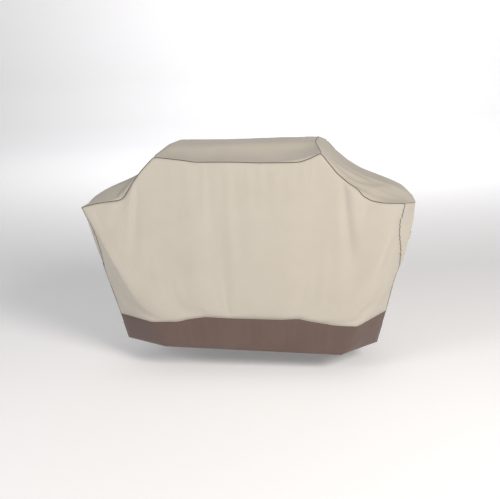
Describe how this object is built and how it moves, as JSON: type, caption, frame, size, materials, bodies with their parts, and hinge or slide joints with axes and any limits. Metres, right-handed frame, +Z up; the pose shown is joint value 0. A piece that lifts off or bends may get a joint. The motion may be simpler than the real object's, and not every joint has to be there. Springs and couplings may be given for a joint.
{
  "type": "grill cover",
  "caption": "Fitted cloth cover for a wide cart grill: raised hood and side shelves, end gussets, dark hem band with a drawcord, back vents, handles and leg straps.",
  "frame": {"origin": "middle of the underside of the flat crest of the top, which lies on the grill hood", "axes": "+X along the length to the right as seen from the front, +Y to the back, +Z up"},
  "size_m": [1.84, 0.636, 1.197],
  "materials": {
    "cover_cloth": "coated woven polyester, matt, beige",
    "band_cloth": "coated woven polyester, matt, brown",
    "binding_tape": "woven binding tape, brown",
    "webbing": "woven polypropylene webbing, dark brown",
    "vent_mesh": "open woven mesh, dark",
    "drawcord": "braided cord, black",
    "black_plastic": "moulded acetal, satin black",
    "spring_steel": "drawn wire",
    "brass": "pressed brass, dulled"
  },
  "bodies": {
    "cover": {"back_hem_band": "band_cloth", "back_panel": "cover_cloth", "back_seam_binding": "binding_tape", "cord_end_bell": "black_plastic", "drawcord_grommet": "brass", "front_hem_band": "band_cloth", "front_panel": "cover_cloth", "front_seam_binding": "binding_tape", "hem_casing": "band_cloth", "hem_drawcord": "drawcord", "left_buckle_socket": "black_plastic", "left_end_gusset": "cover_cloth", "left_handle_grip": "band_cloth", "left_handle_patches": "webbing", "left_handle_webbing": "webbing", "left_hem_band": "band_cloth", "left_insert_webbing": "webbing", "left_shoulder_gusset": "cover_cloth", "left_socket_webbing": "webbing", "left_strap_patches": "webbing", "left_vent_hood": "band_cloth", "left_vent_mesh": "vent_mesh", "right_buckle_socket": "black_plastic", "right_end_gusset": "cover_cloth", "right_handle_grip": "band_cloth", "right_handle_patches": "webbing", "right_handle_webbing": "webbing", "right_hem_band": "band_cloth", "right_insert_webbing": "webbing", "right_shoulder_gusset": "cover_cloth", "right_socket_webbing": "webbing", "right_strap_patches": "webbing", "right_vent_hood": "band_cloth", "right_vent_mesh": "vent_mesh", "top_gusset": "cover_cloth"},
    "lock": {"cord_lock_barrel": "black_plastic", "cord_lock_spring": "spring_steel"},
    "plunger": {"cord_lock_plunger": "black_plastic"},
    "left_insert": {"left_buckle_insert": "black_plastic"},
    "right_insert": {"right_buckle_insert": "black_plastic"}
  },
  "joints": [
    {"name": "cord_lock_slide", "type": "slide", "parent": "cover", "child": "lock", "axis": [0, 0, -1], "range_m": [0, 0.011]},
    {"name": "cord_lock_press", "type": "slide", "parent": "lock", "child": "plunger", "axis": [0, -1, 0], "range_m": [0, 0.004], "stiffness_N_per_m": 400, "springref_m": -0.004, "deforming": ["cord_lock_spring"]},
    {"name": "left_buckle_release", "type": "slide", "parent": "cover", "child": "left_insert", "axis": [0, 1, 0], "range_m": [0, 0.028], "deforming": ["left_insert_webbing"]},
    {"name": "right_buckle_release", "type": "slide", "parent": "cover", "child": "right_insert", "axis": [0, 1, 0], "range_m": [0, 0.028], "deforming": ["right_insert_webbing"]}
  ]
}
